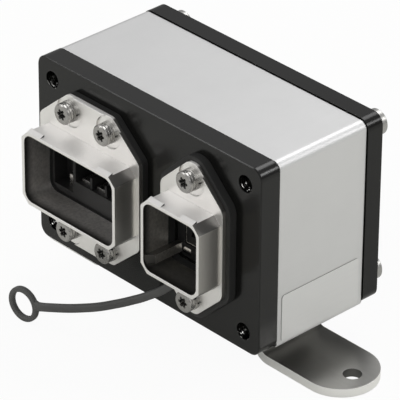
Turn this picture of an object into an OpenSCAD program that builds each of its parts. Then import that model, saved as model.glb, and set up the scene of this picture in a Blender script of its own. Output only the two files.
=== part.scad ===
// Sealed two-port coupler: an extruded aluminium housing between two black covers,
// with a power port and a data port on the front and a bent foot bracket below.
// X runs to the right across the front, Y to the back and Z up. The origin lies on the
// underside of the bracket, midway between its two fixing holes.

/* [Housing] */
// Width of the housing across the front
body_w = 100; // [90:1:140]
// Height of the housing
body_h = 65; // [63:1:90]
// Corner radius of the covers
corner_r = 3.8; // [3:0.2:6]
// Radius of the profile's upper edges
profile_top_r = 2.8; // [1.5:0.1:3.2]
// Radius of the profile's lower edges
profile_low_r = 0.8; // [0.6:0.1:2]
// Wall of the aluminium profile
profile_wall = 3; // [2.5:0.25:3.5]
// Length of the aluminium profile from front to back
profile_len = 36.4; // [32:0.2:80]
// Thickness of the front cover
front_cover_t = 7.6; // [6.8:0.2:11]
// Thickness of the rear cover
rear_cover_t = 6.5; // [5:0.25:10]
// Bevel round the outer face of each cover
cover_bevel = 0.3; // [0.2:0.1:0.8]
// Step of the covers beyond the profile
cover_step = 0.4; // [0:0.1:1]
// Thickness of the flat seals behind the covers
seal_t = 0.5; // [0.4:0.1:1]
// Step of the seals inside the housing outline
seal_inset = 0.3; // [0.1:0.1:0.6]

/* [Housing screws] */
// Thread diameter of the four long screws
housing_screw_d = 5; // [4:0.5:6]
// Head diameter of the long screws
housing_head_d = 8.5; // [8:0.25:10]
// Head height of the long screws
housing_head_h = 5; // [4:0.25:6]
// Distance of the screw axes from the housing's sides
corner_inset = 6.5; // [6:0.25:8]
// Empty thread in front of each screw's tip
thread_left = 3; // [1:0.25:4]
// Wall round each screw channel of the profile
channel_wall = 2.5; // [1.5:0.25:3]

/* [Port layout] */
// Distance of the power flange from the housing's left side
power_margin = 4.75; // [4.5:0.05:6]
// Gap between the power flange and the data pad
port_gap = 8.65; // [7:0.05:12]
// Distance of the data pad from the housing's right side
data_margin = 10.1; // [9.5:0.1:12]

/* [Port flanges] */
// Thickness of the cast flanges
flange_t = 1.6; // [1.2:0.1:2.5]
// Height of both flanges
flange_h = 53; // [52.4:0.1:54]
// Height of the flange screws above and below the port's middle
flange_screw_y = 21.2; // [20:0.1:22]
// Diameter of the spot-faced screw seats
seat_d = 11; // [10.8:0.1:11.6]
// Depth of the spot-faced screw seats
seat_depth = 0.6; // [0.3:0.1:0.9]
// Height of both hoods
hood_h = 26.2; // [25:0.1:27]
// Depth of the hoods in front of their flanges
hood_depth = 8.9; // [8:0.1:14]
// Wall of the hoods
hood_wall = 1.1; // [0.9:0.1:1.5]
// Corner cut on the outside of the hoods
hood_cut = 2.8; // [1.8:0.1:3.2]
// Corner radius on the inside of the hoods
hood_inner_r = 3.5; // [3:0.25:4]
// Length of the latching cams along the mouth edge
cam_w = 6; // [3:0.25:7]
// Run of the latching cams behind the mouth
cam_run = 1.8; // [1.2:0.1:4]
// Rise of the latching cams above the hood
cam_rise = 0.7; // [0.4:0.1:1.2]

/* [Flange screws] */
// Thread diameter of the flange screws
flange_screw_d = 4; // [3:0.5:5]
// Head diameter of the flange screws
flange_head_d = 7; // [6.5:0.25:8]
// Head height of the flange screws
flange_head_h = 3.1; // [2.6:0.1:4]
// Depth of the flange screws' thread in the front cover
flange_thread = 6; // [4:0.25:6.5]
// Thickness of the lock washers
washer_t = 0.9; // [0.6:0.1:1.2]
// Outside diameter of the lock washers
washer_d = 7.2; // [6.8:0.1:8.4]
// Opening of the split in each lock washer
washer_split = 0.6; // [0.4:0.1:1]

/* [Power port] */
// Step of the power flange beside its hood
power_lip = 1.3; // [1.1:0.1:1.8]
// Half height of the power flange's upright sides
power_side = 15.5; // [13:0.25:17]
// Width of the power flange's sloping shoulders
power_shoulder = 12.55; // [11:0.05:14]
// Corner radius of the power flange's outline
power_r = 3; // [2:0.25:3.5]
// Distance of the power flange screws from the shoulders' upper ends
power_screw_inset = 1.4; // [1:0.1:2]
// Thickness of the power gasket
power_gasket_t = 2.2; // [1.6:0.1:2.8]
// Gap between the power blades
blade_gap = 2; // [1.6:0.1:3]
// Thickness of each power blade
blade_t = 0.8; // [0.5:0.1:1.2]
// Depth of the plug chamber in the power insert
chamber_depth = 7.5; // [6:0.25:8]
// Height of the ribs between the blades
lane_rib_h = 4; // [2:0.25:5]
// Thickness of the ribs between the blades
lane_rib_t = 0.9; // [0.6:0.1:1.2]

/* [Data port] */
// Width of the data hood
data_hood_w = 25.8; // [25:0.1:26.2]
// Width of the data flange
data_flange_w = 27.4; // [27:0.1:28.5]
// Half height of the data flange's upright sides
data_side = 15.3; // [14:0.1:16.5]
// Half width of the data flange's top and bottom edges
data_flat = 2; // [1.5:0.1:3.5]
// Corner radius of the data flange's outline
data_r = 4; // [3:0.25:4.5]
// Thickness of the rubber pad under the data flange
pad_t = 2.7; // [2.2:0.1:3.4]
// Margin of the rubber pad round the data flange
pad_margin = 1.6; // [1.2:0.1:2.4]
// Reach of the guide ribs inside the data hood
guide_reach = 2.3; // [1:0.1:2.5]
// Height of the guide ribs inside the data hood
guide_h = 3.2; // [1.5:0.1:4]
// Run of the guide ribs' tapered fronts
guide_lead = 2.5; // [1:0.1:4]
// Width of the data jack
jack_w = 16; // [15:0.1:16.5]
// Height of the data jack
jack_h = 13.4; // [13:0.1:14]
// Depth of the data jack
jack_d = 19; // [17:0.25:22]
// Width of the jack's plug opening
plug_w = 11.9; // [11.6:0.1:12.4]
// Height of the jack's plug opening
plug_h = 8; // [7.6:0.1:8.6]

/* [Circuit board] */
// Thickness of the circuit board
board_t = 1.6; // [1:0.1:2.4]
// Reach of the board rails from the profile's walls
rail_reach = 3; // [2:0.25:4]
// Thickness of the board rails
rail_t = 1.5; // [1:0.25:2]

/* [Mounting bracket] */
// Sheet thickness of the bracket
bracket_t = 3; // [2:0.25:3.5]
// Height of the housing's underside above the bracket's feet
bracket_h = 13.3; // [12.8:0.1:20]
// Distance of the bracket's middle behind the housing's middle
bracket_back = 0.4; // [0:0.1:1]
// Width of the bracket strip
bracket_w = 25; // [20:0.5:30]
// Distance between the outer faces of the bracket's legs
bracket_span = 74; // [66:1:78]
// Inside radius of the bracket's bends
bend_r = 3.2; // [2:0.1:3.2]
// Distance between the two fixing holes
fixing_pitch = 130; // [122:1:140]
// Diameter of the fixing holes
fixing_d = 6; // [4.5:0.1:7]
// Length of each tab past its fixing hole
tab_end = 7.2; // [6:0.1:12]
// Thread diameter of the bracket screws
bracket_screw_d = 4; // [3:0.5:5]
// Head diameter of the bracket screws
bracket_head_d = 7.6; // [7:0.1:8.5]
// Distance of the bracket screws from the housing's middle
bracket_screw_x = 22; // [16:0.5:24]

/* [Strap and label] */
// Width of the rubber strap
strap_w = 2.7; // [2.2:0.1:3.4]
// Thickness of the rubber strap
strap_t = 2; // [1.4:0.1:2.2]
// Outside diameter of the strap's ring
ring_d = 12.1; // [10:0.1:12.2]
// Hole of the strap's ring
ring_hole = 8.6; // [7:0.1:8.8]
// Thickness of the strap's ring
ring_t = 2; // [2:0.1:3]
// Length of the label film along the housing's side
label_len = 33; // [20:0.5:34]
// Height of the label film
label_h = 16.5; // [10:0.5:18]

/* [Hidden] */
$fn = 48;

// Clearances and small shared sizes
cut = 1;
thread_fit = 0.05;
shank_fit = 0.25;
insert_fit = 0.2;
insert_rim = 1.1;
insert_rim_t = 2;
jack_fit = 0.15;
jack_recess = 0.5;
board_fit = 0.15;
board_gap = 0.6;
edge_chamfer = 0.4;
inner_r = 1;
hood_edge_r = 0.4;

// Heights and depths; depths are measured outward from the front cover's face
body_depth = front_cover_t + profile_len + rear_cover_t + 2 * seal_t;
front_y = -body_depth / 2 - bracket_back;
mid_z = bracket_h + body_h / 2;
profile_front = -front_cover_t - seal_t;
profile_back = profile_front - profile_len;
rear_face = profile_back - seal_t - rear_cover_t;
insert_back = -front_cover_t - insert_rim_t;
board_top = -jack_h / 2;
board_bottom = board_top - board_t;
board_front = insert_back - board_gap;
board_back = profile_back + 2;

// Ports
pad_w = data_flange_w + 2 * pad_margin;
data_x = body_w / 2 - data_margin - pad_w / 2;
power_flange_w = body_w - power_margin - port_gap - pad_w - data_margin;
power_hood_w = power_flange_w - 2 * power_lip;
power_x = -body_w / 2 + power_margin + power_flange_w / 2;
power_flat = power_flange_w / 2 - power_shoulder;
power_screw_x = power_flat - power_screw_inset;
power_screws = [for (sx = [-1, 1], sy = [-1, 1]) [sx * power_screw_x, sy * flange_screw_y]];
data_screws = [for (sy = [-1, 1]) [0, sy * flange_screw_y]];
power_outline = flange_points(power_flange_w, power_side, power_flat);
data_outline = flange_points(data_flange_w, data_side, data_flat);
power_seat = power_gasket_t + flange_t - seat_depth;
data_seat = pad_t + flange_t - seat_depth;
power_front = 1.4;
data_front = -1;
jack_front = data_front - jack_recess;

// Power insert: an earth pocket on the left and four blade lanes on the right
lanes = 4;
insert_half = power_hood_w / 2 - hood_wall - insert_fit;
insert_side = 1.15;
earth_left = insert_side - insert_half;
earth_w = 8.8;
earth_wall = 1.2;
lane_left = earth_left + earth_w + earth_wall;
lane_w = insert_half - 2 * insert_side - lane_left;
lane_pitch = lane_w / lanes;
lane_floor = -5.2;
blade_w = lane_pitch - blade_gap;
chamber_top = 9.6;
earth_floor = -9.6;
earth_depth = 5.5;
earth_block = [3.4, 3.4, 2.4];
blade_front = -0.6;
blade_tail = 4;

// Data jack: plug opening with its latch slot, eight contact wires
wire_count = 8;
wire_pitch = 1.02;
wire_t = 0.45;
wire_drop = 2.2;
wire_tip = 2.6;
wire_root = 6;
plug_depth = 12.5;
latch_w = 6.2;
latch_h = 1.6;
shield_t = 0.3;
guide_lift = 1.4;
guide_setback = 0.6;
spring_size = [3.2, 2.2, 2.4];
spring_x = 7.4;
spring_y = -9.7;

// Bracket and strap
pad_rail_w = 12;
pad_rail_h = 3;
bracket_head_h = (bracket_head_d - bracket_screw_d) / 2;
label_t = 0.2;
label_lift = 1.5;
ring_turn = 5;
ring_neck = 0.4;
ring_drop = 1.7;
neck_sink = 1.3;
root_step = 1.3;
pad_edge = edge_normal(data_outline, 5);
pad_along = [pad_edge[1], -pad_edge[0]];
pad_root = (data_outline[5] + data_outline[6]) / 2 + pad_edge * pad_margin + pad_along * root_step;
strap_root = [data_x + pad_root[0], front_y - pad_t / 2, mid_z + pad_root[1]];
strap_steps = [[-12.1, -1.45, 22.4], [-14.5, -1.75, 20.2], [-16.9, -2.35, 18.2], [-19.4, -3.25, 16.4],
               [-21.8, -4.65, 14.8], [-24.1, -6.35, 13.6], [-26.3, -8.45, 12.6], [-28.4, -10.75, 11.9],
               [-30.3, -13.15, 11.4], [-32.3, -15.65, 11.1], [-34.4, -17.95, 10.9], [-36.7, -20.05, 10.6],
               [-39.3, -21.85, 10.2], [-42.1, -23.15, 9.6], [-45.1, -24.15, 8.8], [-48, -24.55, 7.85]];
strap_route = [strap_root, for (p = strap_steps) [data_x + p[0], front_y + p[1], p[2]]];
strap_end = strap_route[len(strap_route) - 1];
strap_root_dir = [pad_edge[0], 0, pad_edge[1]];
strap_end_dir = [-cos(ring_turn), -sin(ring_turn), 0];
strap_cut = strap_t / 4;
strap_section = cut_rectangle(strap_t, strap_w, strap_cut);

function unit(v) = v / norm(v);

// Outward normal of the edge that leaves corner i of a counter-clockwise outline
function edge_normal(points, i) =
    let (d = unit(points[(i + 1) % len(points)] - points[i])) [d[1], -d[0]];

// Centre of the arc of radius r that rounds corner i
function arc_centre(points, i, r) =
    let (n = len(points),
         u = unit(points[(i + n - 1) % n] - points[i]),
         v = unit(points[(i + 1) % n] - points[i]))
    points[i] + unit(u + v) * r / sqrt((1 - u * v) / 2);

// Corners of an upright flange outline with its corners cut off
function flange_points(w, side, flat) =
    [[w / 2, -side], [w / 2, side], [flat, flange_h / 2], [-flat, flange_h / 2],
     [-w / 2, side], [-w / 2, -side], [-flat, -flange_h / 2], [flat, -flange_h / 2]];

// Corners of a rectangle with its corners cut off
function cut_rectangle(w, h, c) =
    [[w / 2, c - h / 2], [w / 2, h / 2 - c], [w / 2 - c, h / 2], [c - w / 2, h / 2],
     [-w / 2, h / 2 - c], [-w / 2, c - h / 2], [c - w / 2, -h / 2], [w / 2 - c, -h / 2]];

// Outline with rounded corners, grown outward by a margin
module soft_outline(points, r, grow = 0) {
    n = len(points);
    centres = [for (i = [0:n - 1]) arc_centre(points, i, r)];
    polygon([for (i = [0:n - 1], side = [n - 1, 0])
        centres[i] + edge_normal(points, (i + side) % n) * (r + grow)]);
    for (c = centres) translate(c) circle(r + grow);
}

// Rounded rectangle about the origin
module rounded_rect(w, h, r) {
    square([w, h - 2 * r], center = true);
    square([w - 2 * r, h], center = true);
    for (sx = [-1, 1], sy = [-1, 1])
        translate([sx * (w / 2 - r), sy * (h / 2 - r)]) circle(r);
}

// Rounded plate with a bevel round its upper face
module bevelled_plate(w, h, t, r, bevel) {
    edge = function (half) [[-half, 0], [half, 0], [half, t - bevel], [half - bevel, t],
                            [bevel - half, t], [-half, t - bevel]];
    rotate([90, 0, 0]) linear_extrude(h - 2 * r, center = true) polygon(edge(w / 2));
    rotate([90, 0, 90]) linear_extrude(w - 2 * r, center = true) polygon(edge(h / 2));
    for (sx = [-1, 1], sy = [-1, 1])
        translate([sx * (w / 2 - r), sy * (h / 2 - r), 0])
            rotate_extrude() polygon([[0, 0], [r, 0], [r, t - bevel], [r - bevel, t], [0, t]]);
}

// Frame of the front cover's face: X right, Y up, Z outward
module on_face(x = 0) {
    translate([x, front_y, mid_z]) rotate([90, 0, 0]) children();
}

module at_corners() {
    for (sx = [-1, 1], sy = [-1, 1])
        translate([sx * (body_w / 2 - corner_inset), sy * (body_h / 2 - corner_inset), 0])
            children();
}

module at_points(points) {
    for (p = points) translate([p[0], p[1], 0]) children();
}

// Cylinder with a chamfered upper edge
module chamfered_head(d, h) {
    rotate_extrude() polygon([[0, 0], [d / 2, 0], [d / 2, h - edge_chamfer],
                              [d / 2 - edge_chamfer, h], [0, h]]);
}

// Star-shaped driver recess, sized from the screw's thread
module star_recess(d) {
    lobes = 6;
    recess_core = 0.68;
    recess_ring = 0.36;
    recess_lobe = 0.26;
    circle(d = d * recess_core);
    for (i = [0:lobes - 1]) rotate(i * 360 / lobes)
        translate([d * recess_ring, 0]) circle(d = d * recess_lobe);
}

// Cap screw: the head stands on z = 0 and the shank runs down
module cap_screw(d, length, head_d, head_h) {
    recess_depth = head_h / 2;
    difference() {
        chamfered_head(head_d, head_h);
        translate([0, 0, head_h - recess_depth]) linear_extrude(recess_depth + cut) star_recess(d);
    }
    translate([0, 0, -length]) cylinder(d = d, h = length);
}

// Outline of the profile: its upper edges are rounder than its lower ones
module profile_outline(w, h, top, low) {
    translate([-w / 2, low - h / 2]) square([w, h - top - low]);
    translate([top - w / 2, low - h / 2]) square([w - 2 * top, h - low]);
    translate([low - w / 2, -h / 2]) square([w - 2 * low, h - top]);
    for (side = [-1, 1]) {
        translate([side * (w / 2 - top), h / 2 - top]) circle(top);
        translate([side * (w / 2 - low), low - h / 2]) circle(low);
    }
}

// Section of the housing wall with its screw channels
module wall_section(inset = 0) {
    difference() {
        union() {
            difference() {
                profile_outline(body_w - 2 * inset, body_h - 2 * inset,
                                profile_top_r - inset, profile_low_r - inset);
                rounded_rect(body_w - 2 * profile_wall, body_h - 2 * profile_wall, inner_r);
            }
            at_corners() circle(d = housing_screw_d + 2 * shank_fit + 2 * channel_wall);
        }
        at_corners() circle(d = housing_screw_d + 2 * shank_fit);
    }
}

module board_rails() {
    w = rail_reach + profile_wall / 2;
    for (side = [-1, 1], y = [board_bottom - board_fit - rail_t, board_top + board_fit])
        translate([side * (body_w - profile_wall - w) / 2, y + rail_t / 2])
            square([w, rail_t], center = true);
}

module at_bracket_screws() {
    for (side = [-1, 1]) translate([side * bracket_screw_x, 0, bracket_h]) children();
}

module housing_profile() {
    color("#cfd0cc") difference() {
        on_face() translate([0, 0, profile_back]) linear_extrude(profile_len) {
            wall_section();
            board_rails();
            for (side = [-1, 1])
                translate([side * bracket_screw_x - pad_rail_w / 2, -body_h / 2 + profile_wall / 2])
                    square([pad_rail_w, profile_wall / 2 + pad_rail_h]);
        }
        at_bracket_screws() translate([0, 0, -cut])
            cylinder(d = bracket_screw_d + 2 * thread_fit, h = profile_wall + pad_rail_h + 2 * cut);
    }
}

module hood_opening(hood_w) {
    rounded_rect(hood_w - 2 * hood_wall, hood_h - 2 * hood_wall, hood_inner_r);
}

module cover_plate(t) {
    bevelled_plate(body_w + 2 * cover_step, body_h + 2 * cover_step, t, corner_r, cover_bevel);
}

module front_cover() {
    color("#2c2c2c") on_face() difference() {
        translate([0, 0, -front_cover_t])
            cover_plate(front_cover_t);
        translate([0, 0, -front_cover_t - cut]) linear_extrude(front_cover_t + 2 * cut) {
            at_corners() circle(d = housing_screw_d + 2 * thread_fit);
            translate([power_x, 0]) hood_opening(power_hood_w);
            translate([data_x, 0]) hood_opening(data_hood_w);
        }
        at_corners() translate([0, 0, -edge_chamfer])
            cylinder(d1 = housing_screw_d + 2 * thread_fit,
                     d2 = housing_screw_d + 2 * (thread_fit + edge_chamfer + cut),
                     h = edge_chamfer + cut);
        translate([0, 0, -flange_thread - thread_fit])
            linear_extrude(flange_thread + thread_fit + cut) {
                translate([power_x, 0]) at_points(power_screws)
                    circle(d = flange_screw_d + 2 * thread_fit);
                translate([data_x, 0]) at_points(data_screws)
                    circle(d = flange_screw_d + 2 * thread_fit);
            }
    }
}

module rear_cover() {
    color("#2c2c2c") on_face() difference() {
        translate([0, 0, rear_face + rear_cover_t]) rotate([180, 0, 0])
            cover_plate(rear_cover_t);
        at_corners() translate([0, 0, rear_face - cut])
            cylinder(d = housing_screw_d + 2 * shank_fit, h = rear_cover_t + 2 * cut);
    }
}

module flat_seal(depth) {
    on_face() translate([0, 0, depth]) linear_extrude(seal_t) wall_section(seal_inset);
}

module front_seal() {
    color("#141414") flat_seal(profile_front);
}

module rear_seal() {
    color("#141414") flat_seal(profile_back - seal_t);
}

module housing_screws() {
    color("#b9bab8") on_face() at_corners() translate([0, 0, rear_face]) rotate([180, 0, 0])
        cap_screw(housing_screw_d, -rear_face - thread_left, housing_head_d, housing_head_h);
}

module power_gasket() {
    color("#1a1a1a") on_face(power_x) linear_extrude(power_gasket_t) difference() {
        soft_outline(power_outline, power_r);
        hood_opening(power_hood_w);
        at_points(power_screws) circle(d = flange_screw_d + 2 * shank_fit);
    }
}

// Wedge-shaped cams on the top and bottom of a hood, behind the mouth's corners
module latch_cams(hood_w) {
    for (sx = [0, 1], sy = [0, 1])
        mirror([sx, 0, 0]) mirror([0, sy, 0])
            translate([hood_w / 2 - hood_cut - cam_w, hood_h / 2, flange_t + hood_depth])
                rotate([0, 90, 0]) linear_extrude(cam_w)
                    polygon([[0, -hood_wall / 2], [0, 0], [cam_run, cam_rise], [cam_run, -hood_wall / 2]]);
}

// Cast flange with its hood; the flange's back lies on z = 0
module cast_flange(outline, r, hood_w, screws) {
    difference() {
        union() {
            linear_extrude(flange_t) soft_outline(outline, r);
            linear_extrude(flange_t + hood_depth)
                soft_outline(cut_rectangle(hood_w, hood_h, hood_cut), hood_edge_r);
            latch_cams(hood_w);
        }
        translate([0, 0, -cut]) linear_extrude(flange_t + hood_depth + 2 * cut) hood_opening(hood_w);
        at_points(screws) {
            translate([0, 0, -cut]) cylinder(d = flange_screw_d + 2 * shank_fit, h = flange_t + 2 * cut);
            translate([0, 0, flange_t - seat_depth]) cylinder(d = seat_d, h = seat_depth + cut);
        }
    }
}

module power_flange() {
    color("#d9d8d4") on_face(power_x) translate([0, 0, power_gasket_t])
        cast_flange(power_outline, power_r, power_hood_w, power_screws);
}

module lock_washers(screws) {
    at_points(screws) linear_extrude(washer_t) difference() {
        circle(d = washer_d);
        circle(d = flange_screw_d + 2 * shank_fit);
        translate([0, -washer_split / 2]) square([washer_d, washer_split]);
    }
}

module flange_screws(screws, stack) {
    at_points(screws)
        cap_screw(flange_screw_d, stack + washer_t + flange_thread, flange_head_d, flange_head_h);
}

module power_lock_washers() {
    color("#8d8d8a") on_face(power_x) translate([0, 0, power_seat]) lock_washers(power_screws);
}

module power_flange_screws() {
    color("#b9bab8") on_face(power_x) translate([0, 0, power_seat + washer_t])
        flange_screws(power_screws, power_seat);
}

// Moulded block that fills a hood's opening and stops behind the cover with its rim
module insert_block(hood_w, front) {
    w = hood_w - 2 * hood_wall - 2 * insert_fit;
    h = hood_h - 2 * hood_wall - 2 * insert_fit;
    translate([0, 0, insert_back]) {
        linear_extrude(front - insert_back) rounded_rect(w, h, hood_inner_r);
        linear_extrude(insert_rim_t)
            rounded_rect(w + 2 * insert_rim, h + 2 * insert_rim, hood_inner_r + insert_rim);
    }
}

module at_lanes() {
    for (i = [0:lanes - 1]) translate([lane_left + (i + 0.5) * lane_pitch, 0, 0]) children();
}

module power_insert() {
    color("#191919") on_face(power_x) {
        difference() {
            insert_block(power_hood_w, power_front);
            translate([lane_left, lane_floor, power_front - chamber_depth])
                cube([lane_w, chamber_top - lane_floor, chamber_depth + cut]);
            translate([earth_left, earth_floor, power_front - earth_depth])
                cube([earth_w, chamber_top - earth_floor, earth_depth + cut]);
            at_lanes() translate([-blade_w / 2 - thread_fit, lane_floor - thread_fit, insert_back - cut])
                cube([blade_w + 2 * thread_fit, blade_t + 2 * thread_fit, -insert_back]);
        }
        for (i = [1:lanes - 1])
            translate([lane_left + i * lane_pitch - lane_rib_t / 2, lane_floor - cut / 2,
                       power_front - chamber_depth - cut / 2])
                cube([lane_rib_t, lane_rib_h + cut / 2, chamber_depth]);
    }
}

// Flat blades on the floor of the lanes, with tails bent down to the board
module power_contacts() {
    color("#c9c6bd") on_face(power_x) at_lanes() {
        translate([-blade_w / 2, lane_floor, insert_back - blade_tail])
            cube([blade_w, blade_t, blade_front - insert_back + blade_tail]);
        translate([-blade_w / 2, board_top, insert_back - blade_tail])
            cube([blade_w, lane_floor - board_top + blade_t, blade_t]);
    }
}

// Formed earth contact on the floor of the insert's left pocket
module earth_contact() {
    color("#d6d3cb") on_face(power_x)
        translate([earth_left + earth_w - 2 * blade_t, earth_floor, power_front - earth_depth])
            mirror([1, 0, 0]) difference() {
                cube(earth_block);
                translate([blade_t, blade_t, -cut])
                    cube([earth_block[0], earth_block[1] - 2 * blade_t, earth_block[2] - blade_t + cut]);
            }
}

module data_pad() {
    color("#181818") on_face(data_x) linear_extrude(pad_t) difference() {
        soft_outline(data_outline, data_r, pad_margin);
        hood_opening(data_hood_w);
        at_points(data_screws) circle(d = flange_screw_d + 2 * shank_fit);
    }
}

// Guide ribs low on both sides of the data hood, sunk into its walls
module guide_ribs(sink, low, high, lead) {
    taper = lead > 0 ? [[guide_reach, high - lead], [0, high]] : [[guide_reach, high]];
    for (side = [0, 1]) mirror([side, 0, 0])
        translate([hood_wall - data_hood_w / 2, hood_wall + guide_lift + guide_h - hood_h / 2, 0])
            rotate([90, 0, 0]) linear_extrude(guide_h)
                polygon([[-sink, low], [guide_reach, low], each taper, [-sink, high]]);
}

module data_flange() {
    color("#d9d8d4") on_face(data_x) translate([0, 0, pad_t]) {
        cast_flange(data_outline, data_r, data_hood_w, data_screws);
        guide_ribs(hood_wall / 2, flange_t / 2, flange_t + hood_depth - guide_setback, guide_lead);
        intersection() {
            guide_ribs(0, data_front - pad_t, flange_t, 0);
            translate([0, 0, data_front - pad_t]) linear_extrude(flange_t + pad_t - data_front)
                rounded_rect(data_hood_w - 2 * (hood_wall + insert_fit), hood_h - 2 * (hood_wall + insert_fit),
                             hood_inner_r - insert_fit);
        }
    }
}

module data_lock_washers() {
    color("#8d8d8a") on_face(data_x) translate([0, 0, data_seat]) lock_washers(data_screws);
}

module data_flange_screws() {
    color("#b9bab8") on_face(data_x) translate([0, 0, data_seat + washer_t])
        flange_screws(data_screws, data_seat);
}

module at_springs() {
    for (side = [-1, 1]) translate([side * spring_x, spring_y, data_front]) children();
}

module data_insert() {
    sleeve = 2 * (shield_t + jack_fit);
    color("#191919") on_face(data_x) difference() {
        insert_block(data_hood_w, data_front);
        translate([0, 0, insert_back - cut]) linear_extrude(data_front - insert_back + 2 * cut)
            square([jack_w + sleeve, jack_h + sleeve], center = true);
        at_springs() translate([0, 0, -spring_size[2]])
            linear_extrude(spring_size[2] + cut)
                square([spring_size[0] + 2 * insert_fit, spring_size[1] + 2 * insert_fit], center = true);
    }
}

module data_jack() {
    color("#202020") on_face(data_x) difference() {
        translate([-jack_w / 2, -jack_h / 2, jack_front - jack_d]) cube([jack_w, jack_h, jack_d]);
        translate([-plug_w / 2, -plug_h / 2, jack_front - plug_depth])
            cube([plug_w, plug_h, plug_depth + cut]);
        translate([-latch_w / 2, -plug_h / 2 - latch_h, jack_front - plug_depth])
            cube([latch_w, latch_h + cut, plug_depth + cut]);
    }
}

// Tinned sleeve round the jack, open at the bottom behind the insert for the board
module jack_shield() {
    color("#c6c5c0") on_face(data_x) translate([0, 0, jack_front - jack_d])
        difference() {
            linear_extrude(jack_d) square([jack_w + 2 * shield_t, jack_h + 2 * shield_t], center = true);
            translate([0, 0, -cut]) linear_extrude(jack_d + 2 * cut) square([jack_w, jack_h], center = true);
            translate([-jack_w, -jack_h / 2 - shield_t - cut, -cut])
                cube([2 * jack_w, shield_t + cut, insert_back - jack_front + jack_d + cut]);
        }
}

// Spring wires that hang from the top of the plug opening and lean back
module jack_contacts() {
    color("#c9a650") on_face(data_x) for (i = [0:wire_count - 1])
        translate([(i - (wire_count - 1) / 2) * wire_pitch - wire_t / 2, 0, 0])
            rotate([0, 90, 0]) rotate([0, 0, 90]) linear_extrude(wire_t)
                polygon([[plug_h / 2, jack_front - plug_depth],
                         [plug_h / 2 - wire_t, jack_front - plug_depth],
                         [plug_h / 2 - wire_drop, jack_front - wire_tip - wire_t],
                         [plug_h / 2 - wire_drop + wire_t, jack_front - wire_tip],
                         [plug_h / 2, jack_front - wire_root]]);
}

// Small earth springs beside the jack's lower corners
module shield_springs() {
    color("#d6d3cb") on_face(data_x) at_springs() translate([0, 0, -spring_size[2]]) {
        linear_extrude(spring_size[2] / 2) square([spring_size[0], spring_size[1]], center = true);
        translate([0, 0, spring_size[2] / 2]) rotate([0, 90, 0])
            cylinder(d = spring_size[1], h = spring_size[0], center = true);
    }
}

module circuit_board() {
    w = body_w - 2 * profile_wall - 2 * board_fit;
    color("#2f5a3c") on_face() translate([-w / 2, board_bottom, board_back])
        cube([w, board_t, board_front - board_back]);
}

// Half section of the bracket sheet: foot tab, two bends and half of the raised plate
module bracket_section() {
    leg = bracket_span / 2;
    low = [leg + bend_r, bracket_t + bend_r];
    high = [leg - bracket_t - bend_r, bracket_h - bracket_t - bend_r];
    tip = fixing_pitch / 2 + tab_end;
    translate([low[0], 0]) square([tip - low[0], bracket_t]);
    translate([0, bracket_h - bracket_t]) square([high[0], bracket_t]);
    translate([leg - bracket_t, low[1]]) square([bracket_t, high[1] - low[1]]);
    for (bend = [[low, 180], [high, 0]]) translate(bend[0]) rotate(bend[1]) intersection() {
        difference() {
            circle(bend_r + bracket_t);
            circle(bend_r);
        }
        square(bend_r + bracket_t);
    }
}

module mounting_bracket() {
    round_x = fixing_pitch / 2 + tab_end - bracket_w / 2;
    color("#b5b5b2") difference() {
        intersection() {
            rotate([90, 0, 0]) linear_extrude(bracket_w, center = true) for (side = [0, 1])
                mirror([side, 0]) bracket_section();
            linear_extrude(bracket_h) {
                square([2 * round_x, bracket_w], center = true);
                for (side = [-1, 1]) translate([side * round_x, 0]) circle(d = bracket_w);
            }
        }
        for (side = [-1, 1]) translate([side * fixing_pitch / 2, 0, -cut])
            cylinder(d = fixing_d, h = bracket_t + 2 * cut);
        at_bracket_screws() translate([0, 0, -bracket_t])
            countersunk(bracket_screw_d + 2 * shank_fit, bracket_t + cut);
    }
}

// Countersunk head on z = 0 with a straight shank above it
module countersunk(d, length) {
    cylinder(d1 = bracket_head_d + d - bracket_screw_d, d2 = d, h = bracket_head_h);
    cylinder(d = d, h = length);
}

module bracket_screws() {
    color("#b9bab8") at_bracket_screws() translate([0, 0, -bracket_t]) difference() {
        countersunk(bracket_screw_d, bracket_t + profile_wall + pad_rail_h);
        translate([0, 0, -cut]) linear_extrude(bracket_head_h / 2 + cut) star_recess(bracket_screw_d);
    }
}

// Bare film stuck to the right-hand side of the profile
module side_label() {
    mid = (profile_front + profile_back) / 2;
    color("#dcdcda") on_face()
        translate([body_w / 2, -body_h / 2 + label_lift + label_h / 2, mid]) rotate([0, 90, 0])
            linear_extrude(label_t) rounded_rect(label_len, label_h, cut);
}

// Strap swept along its route, its section set across its thickness and up its width
module cap_strap() {
    n = len(strap_route);
    m = len(strap_section);
    dirs = [for (i = [0:n - 1]) i == 0 ? strap_root_dir
                              : i == n - 1 ? strap_end_dir
                              : unit(strap_route[i + 1] - strap_route[i - 1])];
    points = [for (i = [0:n - 1], q = strap_section)
        let (side = unit(cross(dirs[i], [0, 0, 1])), up = cross(side, dirs[i]))
        strap_route[i] + side * q[0] + up * q[1]];
    walls = [for (i = [0:n - 2], k = [0:m - 1])
        [i * m + k, i * m + (k + 1) % m, (i + 1) * m + (k + 1) % m, (i + 1) * m + k]];
    caps = [[for (k = [0:m - 1]) m - 1 - k], [for (k = [0:m - 1]) (n - 1) * m + k]];
    color("#1b1b1b") polyhedron(points, concat(walls, caps));
}

// Flat ring with a short neck that carries on from the strap
module cap_ring() {
    reach = ring_neck + ring_d / 2;
    color("#1b1b1b") translate(strap_end) rotate([0, 0, ring_turn]) rotate([90, 0, 0]) {
        translate([-reach, -ring_drop, 0]) rotate_extrude() translate([(ring_d + ring_hole) / 4, 0])
            rounded_rect((ring_d - ring_hole) / 2, ring_t, edge_chamfer);
        translate([-ring_neck - neck_sink, -strap_w / 2, -strap_t / 2])
            cube([ring_neck + neck_sink, strap_w, strap_t]);
    }
}

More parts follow.
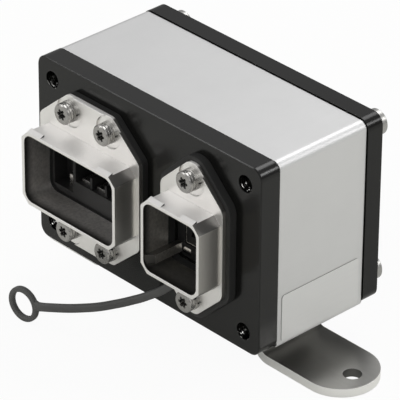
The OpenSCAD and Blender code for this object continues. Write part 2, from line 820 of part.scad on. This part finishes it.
housing_profile();
front_cover();
rear_cover();
front_seal();
rear_seal();
housing_screws();
power_gasket();
power_flange();
power_lock_washers();
power_flange_screws();
power_insert();
power_contacts();
earth_contact();
data_pad();
data_flange();
data_lock_washers();
data_flange_screws();
data_insert();
data_jack();
jack_shield();
jack_contacts();
shield_springs();
circuit_board();
mounting_bracket();
bracket_screws();
side_label();
cap_strap();
cap_ring();
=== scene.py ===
import math

import bmesh
import bpy
from mathutils import Matrix, Vector


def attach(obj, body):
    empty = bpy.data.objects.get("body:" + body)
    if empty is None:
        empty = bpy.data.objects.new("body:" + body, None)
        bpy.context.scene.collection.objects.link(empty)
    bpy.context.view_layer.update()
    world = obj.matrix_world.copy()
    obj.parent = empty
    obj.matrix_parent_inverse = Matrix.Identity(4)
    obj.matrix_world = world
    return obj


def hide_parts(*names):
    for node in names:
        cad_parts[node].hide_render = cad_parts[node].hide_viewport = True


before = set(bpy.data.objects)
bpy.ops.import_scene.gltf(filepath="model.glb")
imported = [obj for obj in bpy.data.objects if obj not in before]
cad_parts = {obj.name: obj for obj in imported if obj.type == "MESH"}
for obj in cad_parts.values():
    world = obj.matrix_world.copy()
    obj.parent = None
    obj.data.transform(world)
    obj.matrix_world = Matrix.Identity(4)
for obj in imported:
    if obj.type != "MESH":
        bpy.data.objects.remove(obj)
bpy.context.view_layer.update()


# Housing profile: an aluminium extrusion cut to length, blasted fine and clear anodised.
# The covers close its two ends, and faint die lines run along it from front to back.

class Wire:
    """One output of a shading node; sums on it add Math nodes."""

    def __init__(self, nodes, socket):
        self.nodes = nodes
        self.socket = socket

    def sum(self, operation, a, b):
        return self.nodes.add("ShaderNodeMath", {"operation": operation}, {0: a, 1: b})

    def __add__(self, other):
        return self.sum("ADD", self, other)

    def __sub__(self, other):
        return self.sum("SUBTRACT", self, other)

    def __rsub__(self, other):
        return self.sum("SUBTRACT", other, self)

    def __mul__(self, other):
        return self.sum("MULTIPLY", self, other)

    def __gt__(self, other):
        return self.sum("GREATER_THAN", self, other)

    def __lt__(self, other):
        return self.sum("LESS_THAN", self, other)

    def __abs__(self):
        return self.sum("ABSOLUTE", self, 0)

    __radd__ = __add__
    __rmul__ = __mul__

    def at_least(self, other):
        return self.sum("MAXIMUM", self, other)

    def zigzag(self, pitch):
        """Climbs from 0 to half the pitch and falls back, once in each pitch."""
        return self.sum("PINGPONG", self, pitch / 2)


class Nodes:
    """A tree of shading nodes, filled one node at a time."""

    def __init__(self, tree):
        self.tree = tree
        tree.nodes.clear()

    def connect(self, node, sockets):
        for key, value in sockets.items():
            if isinstance(value, Wire):
                self.tree.links.new(value.socket, node.inputs[key])
            else:
                node.inputs[key].default_value = value

    def add(self, kind, settings, sockets, out=0):
        """Makes a node and gives the output that out names, several of them, or for None the node."""
        node = self.tree.nodes.new(kind)
        for key, value in settings.items():
            setattr(node, key, value)
        self.connect(node, sockets)
        if out is None:
            return node
        if isinstance(out, tuple):
            return tuple(Wire(self, node.outputs[key]) for key in out)
        return Wire(self, node.outputs[out])

    def rise(self, value, low, high):
        """Goes smoothly from 0 where value is low to 1 where it is high."""
        return self.add("ShaderNodeMapRange", {"interpolation_type": "SMOOTHSTEP"},
                        {"Value": value, "From Min": low, "From Max": high})


class Finish(Nodes):
    """The material of a piece, on one Principled shader with the given constants."""

    def __init__(self, name, constants):
        self.material = bpy.data.materials.new(name)
        self.material.use_nodes = True
        super().__init__(self.material.node_tree)
        self.shader = self.add("ShaderNodeBsdfPrincipled", {}, constants, out=None)
        surface = Wire(self, self.shader.outputs["BSDF"])
        self.add("ShaderNodeOutputMaterial", {}, {"Surface": surface}, out=None)

    def feed(self, sockets):
        self.connect(self.shader, sockets)

    def place(self, stretch=(1, 1, 1)):
        here = self.add("ShaderNodeTexCoord", {}, {}, out="Object")
        return self.add("ShaderNodeVectorMath", {"operation": "MULTIPLY"}, {0: here, 1: stretch})

    def axes(self):
        """Place on the object along x, y and z, in metres."""
        return self.add("ShaderNodeSeparateXYZ", {}, {0: self.place()}, out=(0, 1, 2))

    def normal(self):
        return self.add("ShaderNodeNewGeometry", {}, {}, out="Normal")

    def facing(self):
        """How far the surface faces along x, y and z."""
        return self.add("ShaderNodeSeparateXYZ", {}, {0: self.normal()}, out=(0, 1, 2))

    def grain(self, size, stretch=(1, 1, 1), detail=3.0):
        """Noise from 0 to 1 whose lumps are about size metres across."""
        return self.add("ShaderNodeTexNoise", {},
                        {"Vector": self.place(stretch), "Scale": 1 / size,
                         "Detail": detail, "Roughness": 0.55})

    def between(self, first, second, share):
        """Mixes two colours, of which the second has that share."""
        return self.add("ShaderNodeMix", {"data_type": "RGBA"},
                        {0: share, 6: first if isinstance(first, Wire) else (*first, 1),
                         7: second if isinstance(second, Wire) else (*second, 1)}, out=2)

    def soft_edge(self, size):
        """Normal of the surface with its edges rounded by size metres."""
        return self.add("ShaderNodeBevel", {"samples": 4}, {"Radius": size})

    def worn_lit_edges(self, size, low, high):
        """Is 1 along the edges, over size metres of them, for wear and a painted highlight there, and
        0 elsewhere.
        """
        agree = self.add("ShaderNodeVectorMath", {"operation": "DOT_PRODUCT"},
                         {0: self.soft_edge(size), 1: self.normal()}, out="Value")
        return self.rise(1 - agree, low, high)

    def openness(self, reach):
        """Is 1 on open faces and falls to 0 in recesses and gaps of about that reach."""
        return self.add("ShaderNodeAmbientOcclusion", {"samples": 8, "only_local": True},
                        {"Distance": reach}, out="AO")

    def relief(self, height, depth, edge=0.0):
        """Bump of that depth in metres, on edges that look rounded by edge metres."""
        sockets = {"Height": height, "Distance": depth, "Strength": 1.0}
        if edge:
            sockets["Normal"] = self.soft_edge(edge)
        self.feed({"Normal": self.add("ShaderNodeBump", {}, sockets)})


def dress(finish, *nodes):
    for name in nodes:
        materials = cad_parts[name].data.materials
        materials.clear()
        materials.append(finish.material)


anodised_dark, anodised_light = (0.70, 0.70, 0.70), (0.77, 0.77, 0.77)
die_line_w, die_line_run, cloud_size, blast_size = 0.0005, (1, 0.02, 1), 0.012, 0.00025
die_line_depth, profile_edge = 0.000012, 0.0003
aluminium = Finish("satin_aluminium", {"Metallic": 1.0})
die_lines = aluminium.grain(die_line_w, die_line_run)
cloud = aluminium.grain(cloud_size)
aluminium.feed({
    "Base Color": aluminium.between(anodised_dark, anodised_light, cloud * 0.6 + die_lines * 0.4),
    "Roughness": 0.46 + 0.10 * die_lines})
aluminium.relief(die_lines * 0.6 + aluminium.grain(blast_size) * 0.4, die_line_depth, profile_edge)
dress(aluminium, "housing_profile")


# Circuit board: a glass-fibre plate under green lacquer, with the weave showing faintly.
# It slides into the profile's rails before the covers go on.

lacquer_dark, lacquer_light = (0.02, 0.12, 0.05), (0.05, 0.22, 0.10)
weave_size, weave_depth = 0.0008, 0.00003
lacquer = Finish("board_lacquer", {"Coat Weight": 0.4, "Roughness": 0.4})
weave = lacquer.grain(weave_size)
lacquer.feed({"Base Color": lacquer.between(lacquer_dark, lacquer_light, weave)})
lacquer.relief(weave, weave_depth)
dress(lacquer, "circuit_board")


# Seals: thin frames punched from black rubber sheet, one behind each cover.
# The covers' screws squeeze them against the ends of the profile.

def black_rubber(name, shade):
    """Rubber of that mean shade, with a dull skin and a faint bloom."""
    skin_size, skin_depth, bloom_size, rubber_edge = 0.0006, 0.00004, 0.01, 0.0003
    bare = (shade * 0.75, shade * 0.75, shade * 0.75)
    bloomed = (shade * 1.35, shade * 1.35, shade * 1.3)
    rubber = Finish(name, {"Specular IOR Level": 0.4})
    skin = rubber.grain(skin_size)
    rubber.feed({"Base Color": rubber.between(bare, bloomed, rubber.grain(bloom_size)),
                 "Roughness": 0.48 + 0.18 * skin})
    rubber.relief(skin, skin_depth, rubber_edge)
    return rubber


seal_shade = 0.020
dress(black_rubber("seal_rubber", seal_shade), "front_seal", "rear_seal")


# Covers: two cast plates under a fine black coat, bevelled round their outer faces and drawn
# against the profile by four long screws. The front one is tapped for them; its corner holes
# are painted dark, as shade, with painted glints on their lower walls near the mouth.

coat_depth, coat_edge = 0.000012, 0.0003


def black_coat(name, gloss):
    """A coat of that gloss, its fine grain, and its colour with worn edges that carry a painted
    highlight.
    """
    coat_dark, coat_light = (0.003, 0.003, 0.003), (0.008, 0.008, 0.007)
    worn_highlight_colour, worn_highlight_w = (0.13, 0.13, 0.125), 0.00025
    fine_size, patch_size = 0.00035, 0.009
    coat = Finish(name, {"Specular IOR Level": gloss})
    fine, patches = coat.grain(fine_size), coat.grain(patch_size)
    colour = coat.between(coat_dark, coat_light, patches * 0.5 + fine * 0.5)
    # Painted highlight: patches of the edges are lightened, partly as wear and partly to stand for the
    # highlight along them.
    colour = coat.between(colour, worn_highlight_colour, coat.worn_lit_edges(worn_highlight_w, 0.03, 0.2) * patches)
    coat.feed({"Base Color": colour, "Roughness": 0.15 + 0.08 * fine})
    return coat, fine, colour


rear_gloss, front_gloss = 0.25, 0.32
coat, fine, colour = black_coat("black_cover_rear", rear_gloss)
coat.relief(fine, coat_depth, coat_edge)
dress(coat, "rear_cover")

corner_x, corner_low, corner_high = 0.0435, 0.0198, 0.0718
thread_r, thread_pitch, thread_depth = 0.00285, 0.0008, 0.0003
thread_dark_y, thread_lit_y = -0.0215, -0.0235
thread_glint_colour, fleck_size = (0.58, 0.58, 0.56), 0.0011
coat, fine, colour = black_coat("black_cover_front", front_gloss)
x, y, z = coat.axes()
across = abs(x) - corner_x
upright = z - corner_low - (corner_high - corner_low) * (z > (corner_low + corner_high) / 2)
in_bore = (across * across + upright * upright) < thread_r * thread_r
thread = y.zigzag(thread_pitch) * (2 / thread_pitch)
coat.relief(fine * (1 - in_bore) * (coat_depth / thread_depth) + thread * in_bore,
            thread_depth, coat_edge)
# Painted shade and highlight: the bore keeps the coat's black, and painted glints of bare thread fleck
# its lower wall near the mouth, fading deeper in.
lit_wall = (coat.rise(upright, -thread_r * 0.1, -thread_r * 0.7)
            * coat.rise(y, thread_dark_y, thread_lit_y))
glint = in_bore * lit_wall * coat.rise(coat.grain(fleck_size), 0.52, 0.62)
coat.feed({"Base Color": coat.between(colour, thread_glint_colour, glint), "Metallic": in_bore})
dress(coat, "front_cover")


# Housing screws: four long cap screws of rolled steel with a bright zinc plate and a star socket.
# They go in from the rear, through the profile's channels, into the front cover's thread.

def plated_steel(name, light, rough, reach, head_y=None, bright_from=None):
    """Plate with painted shade in recesses of that reach. Heads that start at head_y have turned
    rings round them, with painted shade in their grooves and painted light on the heads' flanks,
    and what lies before bright_from is painted dark, as shade."""
    ring_pitch, ring_groove, painted_flank_light = 0.00115, 0.0002, (0.53, 0.52, 0.50)
    recess_shade, turned_size = (0.06, 0.06, 0.057), 0.0005
    ring_depth, steel_edge = 0.0001, 0.00018
    steel = Finish(name, {"Metallic": 1.0})
    turned = steel.grain(turned_size)
    y = steel.axes()[1]
    # Painted shade: the plate darkens in sockets and other recesses.
    undarkened = steel.rise(steel.openness(reach), 0.25, 0.85)
    height = turned * 0.1
    skin = steel.between(tuple(c * 0.8 for c in light), light, turned)
    # Painted light and shade: the heads' flanks are painted lighter than their faces, and the grooves
    # of the turned rings darker.
    if head_y is not None:
        flank = steel.rise(abs(steel.facing()[1]), 0.7, 0.3)
        groove = steel.rise((y - head_y).zigzag(ring_pitch), ring_groove, 0.0) * flank
        undarkened = undarkened * (1 - 0.8 * groove)
        skin = steel.between(skin, painted_flank_light, flank)
        height = height + 1 - groove
    # Painted shade: the screw is dark before bright_from, where it lies deep in a hole.
    if bright_from is not None:
        undarkened = undarkened * steel.rise(y, bright_from - 0.001, bright_from)
    steel.feed({"Base Color": steel.between(recess_shade, skin, undarkened),
                "Roughness": rough + 0.12 * turned})
    steel.relief(height, ring_depth, steel_edge)
    return steel


socket_reach = 0.0016
long_screw_light, long_screw_bright_from = (0.46, 0.455, 0.44), 0.0
# Painted shade: dark in their sockets and over their front halves, which lie inside the tapped holes.
dress(plated_steel("screw_steel_long", long_screw_light, 0.3, socket_reach,
                   bright_from=long_screw_bright_from), "housing_screws")


# Port inserts and data jack: black mouldings of glass-filled plastic with matt skins.
# The inserts close the hoods at their backs, and the jack stands on the circuit board.

moulding_dark, moulding_light = (0.008, 0.008, 0.008), (0.016, 0.016, 0.016)
moulding_size, moulding_depth, moulding_edge = 0.0004, 0.00003, 0.0002
moulding = Finish("black_moulding", {"Specular IOR Level": 0.4})
skin = moulding.grain(moulding_size)
moulding.feed({"Base Color": moulding.between(moulding_dark, moulding_light, skin),
               "Roughness": 0.42 + 0.2 * skin})
moulding.relief(skin, moulding_depth, moulding_edge)
dress(moulding, "power_insert", "data_insert", "data_jack")


# Contacts: blades, earth parts and the jack's sleeve, stamped from tinned strip and pressed into
# the mouldings, and the jack's eight spring wires, which are gilt.

tin_light, tin_reach = (0.82, 0.80, 0.76), 0.0006
gilt_light, wire_reach = (0.85, 0.62, 0.26), 0.0004
dress(plated_steel("tinned_contact", tin_light, 0.22, tin_reach),
      "power_contacts", "earth_contact", "jack_shield", "shield_springs")
dress(plated_steel("gilt_wire", gilt_light, 0.2, wire_reach), "jack_contacts")


# Gaskets: moulded black rubber pads, a flat one for the power port and a thick one for data.
# The flanges squeeze them against the front cover.

gasket_shade = 0.020
dress(black_rubber("gasket_rubber", gasket_shade), "power_gasket", "data_pad")


# Port flanges: zinc castings with their hoods in one piece, tumbled and plated with satin nickel.
# Each is screwed to the front cover over its gasket. The hoods are dull inside and darker near
# their mouths, with painted shade on their floors, in recesses and on their sides and chamfers.

def nickel_plate(name, mouth_x, mouth_y, mouth_w, flank_shade_colour, lining_colour, floor_shade):
    """Plate on a hood whose mouth has that place and width. The lining is darker near the mouth,
    and has painted shade on the faces that look along the hood, such as the ribs' leads, and, by
    the share that the last argument gives, on the floor."""
    mouth_z, mouth_h, mouth_r, mouth_slack = 0.0458, 0.0240, 0.0035, 0.0003
    cam_y, cam_z, mouth_dark_run = -0.0355, 0.01312, 0.004
    plate_dull, plate_bright = (0.88, 0.865, 0.845), (0.95, 0.935, 0.915)
    chamfer_shade, hollow_shade = (0.22, 0.215, 0.205), (0.25, 0.245, 0.24)
    cam_end_shade, lining_dark = (0.03, 0.03, 0.03), (0.06, 0.058, 0.054)
    tone_size, peel_size, pore_size, worn_size = 0.006, 0.0012, 0.0005, 0.0009
    recess_reach, plate_depth, plate_edge = 0.0008, 0.00003, 0.00035

    nickel = Finish(name, {"Metallic": 1.0})
    x, y, z = nickel.axes()
    past_x = (abs(x - mouth_x) - (mouth_w / 2 - mouth_r)).at_least(0)
    past_z = (abs(z - mouth_z) - (mouth_h / 2 - mouth_r)).at_least(0)
    inside = (past_x * past_x + past_z * past_z) < (mouth_r + mouth_slack) ** 2
    inside = inside * (y > mouth_y)
    facing_x, facing_y, facing_z = nickel.facing()
    flank = nickel.rise(abs(facing_x), 0.25, 0.75)
    level = nickel.rise(abs(facing_z), 0.6, 0.9)
    corner_cut = nickel.rise(abs(facing_x) * abs(facing_z), 0.3, 0.45)
    cam_end = flank * (abs(z - mouth_z) > cam_z) * (y < cam_y)

    # Painted shade: faces that look sideways take a darker flank colour, the corner chamfers a darker
    # colour, and recesses and the cams' end faces darker still.
    skin = nickel.between(plate_dull, plate_bright, nickel.grain(tone_size))
    skin = nickel.between(skin, flank_shade_colour, flank)
    skin = nickel.between(skin, chamfer_shade, corner_cut)
    skin = nickel.between(hollow_shade, skin, nickel.rise(nickel.openness(recess_reach), 0.2, 0.6))
    skin = nickel.between(skin, cam_end_shade, cam_end)

    # Painted shade inside the hood: the lining darkens on faces that look along the hood and, by a
    # share, on its floor; it is also darker near the mouth, and its mottling is random.
    worn = nickel.rise(nickel.grain(worn_size, detail=5.0), 0.3, 0.7)
    undarkened = (worn * 0.22 + 0.72) * nickel.rise(y, mouth_y, mouth_y + mouth_dark_run)
    undarkened = undarkened * (1 - floor_shade * level) * nickel.rise(abs(facing_y), 0.6, 0.3)
    lining = nickel.between(lining_dark, lining_colour, undarkened)

    bloom = level * (1 - inside)
    peel = nickel.grain(peel_size)
    nickel.feed({"Base Color": nickel.between(skin, lining, inside),
                 "Metallic": 1 - 0.35 * bloom * (1 - corner_cut),
                 "Roughness": 0.35 + 0.08 * peel + 0.08 * inside - 0.04 * flank + 0.12 * bloom})
    nickel.relief(peel * 0.5 + nickel.grain(pore_size) * 0.5, plate_depth, plate_edge)
    return nickel


dress(nickel_plate("plated_casting_power", mouth_x=-0.0223, mouth_y=-0.0387, mouth_w=0.0411,
                   flank_shade_colour=(0.85, 0.835, 0.80), lining_colour=(0.95, 0.92, 0.89),
                   floor_shade=0.0), "power_flange")
dress(nickel_plate("plated_casting_data", mouth_x=0.0246, mouth_y=-0.0392, mouth_w=0.0236,
                   flank_shade_colour=(0.48, 0.465, 0.44), lining_colour=(0.95, 0.92, 0.86),
                   floor_shade=0.75), "data_flange")


# Flange screws and lock washers: short cap screws of zinc-plated steel, with turned rings round
# their heads, each over a sprung washer. They hold the flanges to the front cover.

cap_screw_light, power_head_y, data_head_y = (0.42, 0.41, 0.395), -0.03335, -0.03385
washer_light, washer_reach = (0.42, 0.415, 0.4), 0.0012
# Painted shade in the sockets and ring grooves, and painted light on the heads' flanks.
dress(plated_steel("screw_steel_power", cap_screw_light, 0.2, socket_reach, power_head_y),
      "power_flange_screws")
dress(plated_steel("screw_steel_data", cap_screw_light, 0.2, socket_reach, data_head_y),
      "data_flange_screws")
dress(plated_steel("washer_steel", washer_light, 0.22, washer_reach),
      "power_lock_washers", "data_lock_washers")


# Cap strap and ring: one soft rubber moulding that grows out of the data pad. The strap is
# slightly flat and bends forward under its own weight, and its ring stands on the ground.

strap_route = [
    (14.70, -27.50, 24.64), (12.5, -27.6, 22.4), (10.1, -27.9, 20.2), (7.7, -28.5, 18.2),
    (5.2, -29.4, 16.4), (2.8, -30.8, 14.8), (0.5, -32.5, 13.6), (-1.7, -34.6, 12.6),
    (-3.8, -36.9, 11.9), (-5.7, -39.3, 11.4), (-7.7, -41.8, 11.1), (-9.8, -44.1, 10.9),
    (-12.1, -46.2, 10.6), (-14.7, -48.0, 10.2), (-17.5, -49.3, 9.6), (-20.5, -50.3, 8.8),
    (-23.4, -50.7, 7.85)]
mm_in_metre = 1000
strap_w, strap_t, strap_shade, route_steps = 0.0027, 0.0020, 0.085, 4
strap_flare, flare_rings, into_ring = 0.22, 5, (0.0007, 0.0015)
ring_r, ring_hole_r, ring_t, ring_steps = 0.00605, 0.0043, 0.0020, 96
ring_turn, ring_drop, ring_neck = math.radians(5), 0.0017, 0.0004


def smooth_run(points, steps):
    """Points of a Catmull-Rom curve through the given ones."""
    ends = [2 * points[0] - points[1], *points, 2 * points[-1] - points[-2]]
    run = []
    for i in range(1, len(ends) - 2):
        a, b, c, d = ends[i - 1:i + 3]
        for k in range(steps):
            t = k / steps
            run.append(0.5 * (2 * b + (c - a) * t + (2 * a - 5 * b + 4 * c - d) * t ** 2
                              + (3 * b - a - 3 * c + d) * t ** 3))
    return run + [points[-1]]


def soft_oblong(w, t, corners=24, power=3.5):
    """Section of a moulded strip: an oblong with full round corners."""
    def drawn_out(value):
        return math.copysign(abs(value) ** (2 / power), value)

    turns = [2 * math.pi * k / corners for k in range(corners)]
    return [(t / 2 * drawn_out(math.cos(a)), w / 2 * drawn_out(math.sin(a))) for a in turns]


def moulded(name, rings, closed):
    """A smooth piece whose skin runs over the rings of points; an open run gets end caps."""
    bm = bmesh.new()
    rows = [[bm.verts.new(p) for p in ring] for ring in rings]
    pairs = list(zip(rows, rows[1:])) + ([(rows[-1], rows[0])] if closed else [])
    for low, high in pairs:
        for k in range(len(low)):
            bm.faces.new((low[k - 1], low[k], high[k], high[k - 1]))
    if not closed:
        bm.faces.new(rows[0])
        bm.faces.new(rows[-1])
    bmesh.ops.recalc_face_normals(bm, faces=bm.faces)
    for face in bm.faces:
        face.smooth = True
    mesh = bpy.data.meshes.new(name)
    bm.to_mesh(mesh)
    bm.free()
    piece = bpy.data.objects.new(name, mesh)
    bpy.context.scene.collection.objects.link(piece)
    return piece


route = smooth_run([Vector(p) / mm_in_metre for p in strap_route], route_steps)
ring_out = Vector((-math.cos(ring_turn), -math.sin(ring_turn), 0))
ring_face = Vector((math.sin(ring_turn), -math.cos(ring_turn), 0))
ring_centre = route[-1] + ring_out * (ring_r + ring_neck) - Vector((0, 0, ring_drop))

strap_run = route + [route[-1] + ring_out * reach for reach in into_ring]
last = len(strap_run) - 1
strap_rings = []
for i, p in enumerate(strap_run):
    along = (strap_run[min(i + 1, last)] - strap_run[max(i - 1, 0)]).normalized()
    side = along.cross(Vector((0, 0, 1))).normalized()
    up = side.cross(along)
    flare = 1 + strap_flare * max(0, 1 - (last - i) / flare_rings) ** 2
    strap_rings.append([p + side * s + up * u * flare for s, u in soft_oblong(strap_w, strap_t)])
strap = moulded("rubber_strap", strap_rings, closed=False)

ring_rings = []
for k in range(ring_steps):
    turn = 2 * math.pi * k / ring_steps
    spoke = ring_out * math.cos(turn) + Vector((0, 0, math.sin(turn)))
    ring_rings.append([ring_centre + spoke * ((ring_r + ring_hole_r) / 2 + u) + ring_face * s
                       for s, u in soft_oblong(ring_r - ring_hole_r, ring_t)])
ring = moulded("rubber_ring", ring_rings, closed=True)

strap_rubber = black_rubber("strap_rubber", strap_shade)
for piece, node in ((strap, "cap_strap"), (ring, "cap_ring")):
    piece.data.materials.append(strap_rubber.material)
    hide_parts(node)
    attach(piece, "root")
strap_length = sum((b - a).length for a, b in zip(route, route[1:]))


# Mounting bracket: a strip of cold-rolled stainless sheet, sheared, pierced and bent into a foot.
# Its rolled skin runs along the strip, and it is painted darker towards the housing, as shade.
# Two countersunk screws of plated steel hold it to the profile's floor.

rolled_dark, rolled_light, body_shade = (0.30, 0.295, 0.28), (0.48, 0.475, 0.46), (0.24, 0.236, 0.225)
sheared_colour, pierced_colour = (0.97, 0.965, 0.95), (0.22, 0.22, 0.21)
rolled_w, rolled_run, rolled_depth, tone_size = 0.0004, (0.03, 1, 1), 0.000004, 0.012
shade_clear_x, shade_full_x, sheet_edge = 0.068, 0.046, 0.0003
fixing_x, fixing_reach = 0.065, 0.0033
sheet_steel = Finish("bracket_steel", {"Metallic": 1.0})
rolled = sheet_steel.grain(rolled_w, rolled_run)
x, y, z = sheet_steel.axes()
skin = sheet_steel.between(rolled_dark, rolled_light,
                           rolled * 0.25 + sheet_steel.grain(tone_size) * 0.75)
# Painted shade: the skin darkens towards the housing, where the bracket lies under the body.
skin = sheet_steel.between(skin, body_shade, sheet_steel.rise(abs(x), shade_clear_x, shade_full_x))
sheared = sheet_steel.rise(abs(sheet_steel.facing()[2]), 0.6, 0.2)
from_fixing = abs(x) - fixing_x
pierced = (from_fixing * from_fixing + y * y) < fixing_reach * fixing_reach
edge_colour = sheet_steel.between(sheared_colour, pierced_colour, pierced)
sheet_steel.feed({"Base Color": sheet_steel.between(skin, edge_colour, sheared),
                  "Roughness": 0.28 + 0.06 * rolled + 0.1 * sheared})
sheet_steel.relief(rolled, rolled_depth, sheet_edge)
dress(sheet_steel, "mounting_bracket")

foot_screw_light = (0.58, 0.57, 0.55)
dress(plated_steel("screw_steel_foot", foot_screw_light, 0.2, socket_reach), "bracket_screws")


# Side label: a plain silver film, die cut with round corners and stuck low on the right side.
# Its face is brushed along the housing, and its cut edge is dull and painted dark, as shade.

film_dark, film_light, cut_edge_shade = (0.72, 0.72, 0.71), (0.76, 0.76, 0.75), (0.30, 0.30, 0.29)
brush_w, brush_run, ripple_size, ripple_depth = 0.0004, (1, 0.05, 1), 0.004, 0.00003
film = Finish("label_film", {"Metallic": 0.35, "Coat Weight": 0.08, "Coat Roughness": 0.3})
brush = film.grain(brush_w, brush_run)
# Painted shade: the cut edge is darkened so that it catches no highlight.
cut_edge = film.rise(abs(film.facing()[0]), 0.8, 0.4)
film.feed({"Base Color": film.between(film.between(film_dark, film_light, brush), cut_edge_shade, cut_edge),
           "Roughness": 0.38 + 0.06 * brush + 0.3 * cut_edge})
film.relief(film.grain(ripple_size), ripple_depth)
dress(film, "side_label")


# Studio: a sheet of pale paper that shows white and keeps a soft shadow, in a white surround.
# Five soft boxes stand round it: two at the front left, one at the front right and two behind.
# A long lens looks down from the front right.

floor_reach, paper_colour, white = 4.0, (0.79, 0.79, 0.755, 1), (1, 1, 1, 1)
seen_white, mirrored_white = 0.94, 0.05
corners = [(-1, -1), (1, -1), (1, 1), (-1, 1)]
floor_mesh = bpy.data.meshes.new("studio_floor")
floor_mesh.from_pydata([(a * floor_reach, b * floor_reach, 0) for a, b in corners], [], [(0, 1, 2, 3)])
floor = bpy.data.objects.new("studio_floor", floor_mesh)
bpy.context.scene.collection.objects.link(floor)
paper_material = bpy.data.materials.new("studio_paper")
paper_material.use_nodes = True
paper = Nodes(paper_material.node_tree)
seen, mirrored, through = paper.add(
    "ShaderNodeLightPath", {}, {}, out=("Is Camera Ray", "Is Glossy Ray", "Is Transmission Ray"))
matt = paper.add("ShaderNodeBsdfDiffuse", {}, {"Color": paper_colour})
glow = paper.add("ShaderNodeEmission", {}, {"Color": white, "Strength": 1.0})
shown = paper.add("ShaderNodeMixShader", {},
                  {0: seen_white * seen + mirrored_white * (mirrored + through), 1: matt, 2: glow})
paper.add("ShaderNodeOutputMaterial", {}, {"Surface": shown}, out=None)
floor_mesh.materials.append(paper_material)

low_light, high_light, low_height, high_height = 0.30, 0.60, 0.05, 0.4
world = bpy.data.worlds.new("studio_surround")
bpy.context.scene.world = world
world.use_nodes = True
surround = Nodes(world.node_tree)
seen = surround.add("ShaderNodeLightPath", {}, {}, out="Is Camera Ray")
outward = surround.add("ShaderNodeTexCoord", {}, {}, out="Generated")
height = surround.add("ShaderNodeSeparateXYZ", {}, {0: outward}, out=2)
light = low_light + (high_light - low_light) * surround.rise(height, low_height, high_height)
sky = surround.add("ShaderNodeBackground", {},
                   {"Color": white, "Strength": light * (1 - seen) + seen})
surround.add("ShaderNodeOutputWorld", {}, {"Surface": sky}, out=None)


def soft_box(name, place, aim_z, size, watts):
    """A flat lamp that looks at the middle of the object, at that height."""
    lamp = bpy.data.lights.new(name, "AREA")
    lamp.shape = "RECTANGLE"
    lamp.size, lamp.size_y = size
    lamp.energy = watts
    holder = bpy.data.objects.new(name, lamp)
    place = Vector(place)
    away = place - Vector((0, 0, aim_z))
    holder.matrix_world = Matrix.Translation(place) @ away.to_track_quat("Z", "Y").to_matrix().to_4x4()
    bpy.context.scene.collection.objects.link(holder)


soft_box("key_lamp", (-0.82, -0.65, 0.98), 0.04, (0.28, 0.28), 1.2)
soft_box("fill_panel", (-0.78, -0.73, 0.63), 0.04, (0.95, 0.95), 1.4)
soft_box("front_panel", (0.95, -0.95, 1.0), 0.04, (0.6, 0.6), 2.6)
soft_box("side_box", (0.84, 0.77, 0.67), 0.06, (0.22, 0.32), 2.0)
soft_box("top_box", (-0.20, 0.77, 1.07), 0.06, (0.6, 0.45), 3.4)

azimuth, elevation, roll = (math.radians(angle) for angle in (46.627, 30.829, 0.414))
lens, sensor, distance = 328.39, 36, 1.14018
looked_at, frame_right, frame_up = Vector((0, -0.00115, 0.0433)), 0.001764, 0.005333
back = Vector((math.sin(azimuth) * math.cos(elevation), -math.cos(azimuth) * math.cos(elevation),
               math.sin(elevation)))
right = Vector((math.cos(azimuth), math.sin(azimuth), 0))
upward = back.cross(right)
right, upward = (math.cos(roll) * right + math.sin(roll) * upward,
                 math.cos(roll) * upward - math.sin(roll) * right)
aim = looked_at - right * frame_right - upward * frame_up
camera = bpy.data.cameras.new("studio_camera")
camera.sensor_width = sensor
camera.lens = lens
viewer = bpy.data.objects.new("studio_camera", camera)
bpy.context.scene.collection.objects.link(viewer)
viewer.matrix_world = (Matrix.Translation(aim + back * distance)
                       @ Matrix((right, upward, back)).transposed().to_4x4())
bpy.context.scene.camera = viewer
bpy.context.scene.view_settings.view_transform = "Standard"
